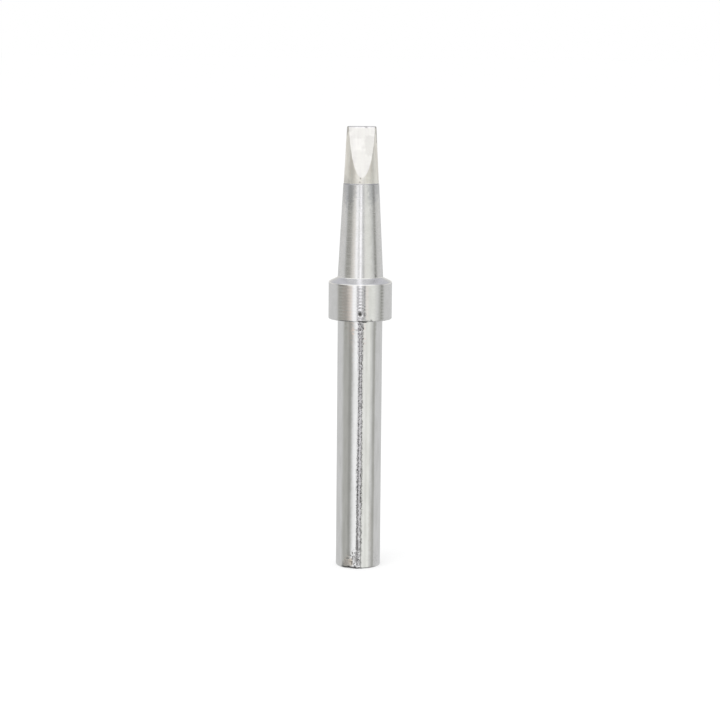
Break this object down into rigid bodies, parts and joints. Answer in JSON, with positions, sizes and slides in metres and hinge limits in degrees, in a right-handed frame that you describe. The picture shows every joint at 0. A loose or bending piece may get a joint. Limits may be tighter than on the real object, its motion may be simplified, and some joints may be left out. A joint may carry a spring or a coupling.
{
  "type": "soldering iron tip",
  "caption": "Chisel-ended soldering iron tip with a tapered body, a locating collar and a long plain shank that slides into the heater.",
  "frame": {"origin": "centre of the flat rear face of the shank, which the tip stands on", "axes": "+Z along the axis from the shank to the chisel end, the chisel's flats facing -Y and +Y, its edge along X"},
  "size_m": [0.0068, 0.0068, 0.0471],
  "materials": {
    "plated_copper": "bright plating over turned copper with fine turning marks, satin solder tinning on the chisel end"
  },
  "bodies": {
    "root": {"soldering_tip": "plated_copper"}
  },
  "joints": []
}
